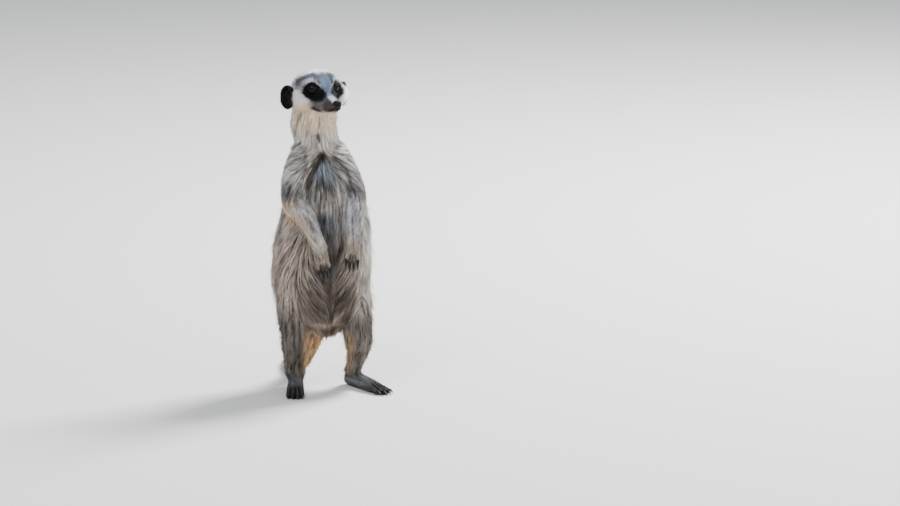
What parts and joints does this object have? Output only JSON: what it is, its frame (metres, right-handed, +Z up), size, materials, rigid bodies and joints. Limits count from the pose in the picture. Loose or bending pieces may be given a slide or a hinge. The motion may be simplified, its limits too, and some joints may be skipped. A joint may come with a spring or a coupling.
{
  "type": "meerkat model",
  "caption": "Life-size still model of a meerkat standing upright on its hind feet and tail, forelegs hanging over the belly, head turned to one side.",
  "frame": {"origin": "middle of the bounding box, on the floor that the feet and the tail rest on", "axes": "+Z up along the standing body, the animal faces -Y, and its left side is at +X"},
  "size_m": [0.1076, 0.2226, 0.2932],
  "materials": {
    "coat": "matt grizzled fur",
    "tail_coat": "matt tawny fur with a dark tip",
    "ear": "matt black, short haired",
    "nose_skin": "moist",
    "eye": "wet gloss",
    "claw": "satin horn"
  },
  "bodies": {
    "root": {"ear_left": "ear", "ear_right": "ear", "eye_left": "eye", "eye_right": "eye", "foot_left": "coat", "foot_left_claw_1": "claw", "foot_left_claw_2": "claw", "foot_left_claw_3": "claw", "foot_left_claw_4": "claw", "foot_right": "coat", "foot_right_claw_1": "claw", "foot_right_claw_2": "claw", "foot_right_claw_3": "claw", "foot_right_claw_4": "claw", "forearm_left": "coat", "forearm_right": "coat", "hand_left": "coat", "hand_left_claw_1": "claw", "hand_left_claw_2": "claw", "hand_left_claw_3": "claw", "hand_left_claw_4": "claw", "hand_right": "coat", "hand_right_claw_1": "claw", "hand_right_claw_2": "claw", "hand_right_claw_3": "claw", "hand_right_claw_4": "claw", "head": "coat", "neck": "coat", "nose": "nose_skin", "shank_left": "coat", "shank_right": "coat", "tail": "tail_coat", "thigh_left": "coat", "thigh_right": "coat", "trunk": "coat", "upper_arm_left": "coat", "upper_arm_right": "coat"}
  },
  "joints": []
}
